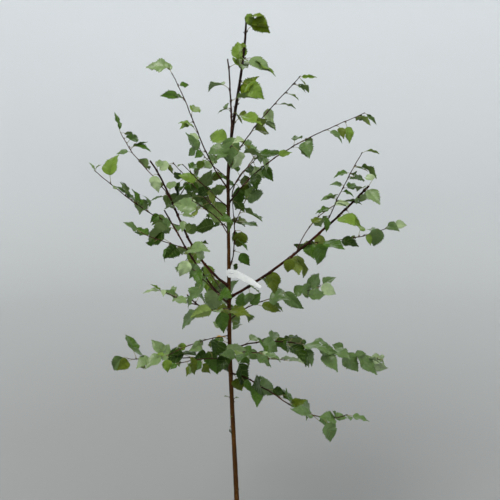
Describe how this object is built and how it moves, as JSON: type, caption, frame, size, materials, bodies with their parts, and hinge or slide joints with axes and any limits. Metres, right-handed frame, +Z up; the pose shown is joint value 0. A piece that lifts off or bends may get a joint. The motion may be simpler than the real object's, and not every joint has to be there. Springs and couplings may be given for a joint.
{
  "type": "potted silver birch",
  "caption": "Young upright silver birch whip with thin arching side limbs and loose leafy twigs, standing in a plain round nursery pot.",
  "frame": {"origin": "centre of the flat underside of the pot, on the surface that it stands on", "axes": "+Z up along the stem, +X towards the stout right-hand bough of the front view, +Y away from the front view"},
  "size_m": [0.8585, 0.5795, 1.7589],
  "materials": {
    "bark": "satin",
    "leaf_light": "satin",
    "leaf_mid": "satin",
    "leaf_deep": "satin",
    "pot_plastic": "satin",
    "compost": "matte",
    "label_white": "satin"
  },
  "bodies": {
    "root": {"bough_l1": "bark", "bough_l3": "bark", "bough_l4": "bark", "bough_l5": "bark", "bough_l6": "bark", "bough_l7": "bark", "bough_l8": "bark", "bough_r1": "bark", "bough_r2": "bark", "bough_r4": "bark", "bough_r5": "bark", "bough_r6": "bark", "bough_r7": "bark", "bough_r8": "bark", "bough_s1": "bark", "compost": "compost", "label": "label_white", "leaves_b1": "leaf_deep", "leaves_b2": "leaf_deep", "leaves_b3": "leaf_deep", "leaves_b4": "leaf_deep", "leaves_f1": "leaf_mid", "leaves_f2": "leaf_light", "leaves_f3": "leaf_mid", "leaves_f4": "leaf_mid", "leaves_f5": "leaf_mid", "leaves_f6": "leaf_mid", "leaves_l1": "leaf_mid", "leaves_l2": "leaf_mid", "leaves_l3": "leaf_mid", "leaves_l3a": "leaf_mid", "leaves_l4": "leaf_mid", "leaves_l4a": "leaf_mid", "leaves_l5": "leaf_mid", "leaves_l5a": "leaf_mid", "leaves_l5b": "leaf_mid", "leaves_l5c": "leaf_mid", "leaves_l6": "leaf_mid", "leaves_l7": "leaf_mid", "leaves_l8": "leaf_light", "leaves_l9": "leaf_mid", "leaves_leader_left": "leaf_mid", "leaves_leader_right": "leaf_light", "leaves_r1": "leaf_mid", "leaves_r2": "leaf_mid", "leaves_r3": "leaf_light", "leaves_r4": "leaf_mid", "leaves_r5": "leaf_mid", "leaves_r5_spurs": "leaf_mid", "leaves_r5a": "leaf_mid", "leaves_r5b": "leaf_mid", "leaves_r5c": "leaf_mid", "leaves_r6": "leaf_mid", "leaves_r6b": "leaf_mid", "leaves_r7": "leaf_mid", "leaves_r8": "leaf_mid", "leaves_s1": "leaf_mid", "pot": "pot_plastic", "trunk": "bark"}
  },
  "joints": []
}
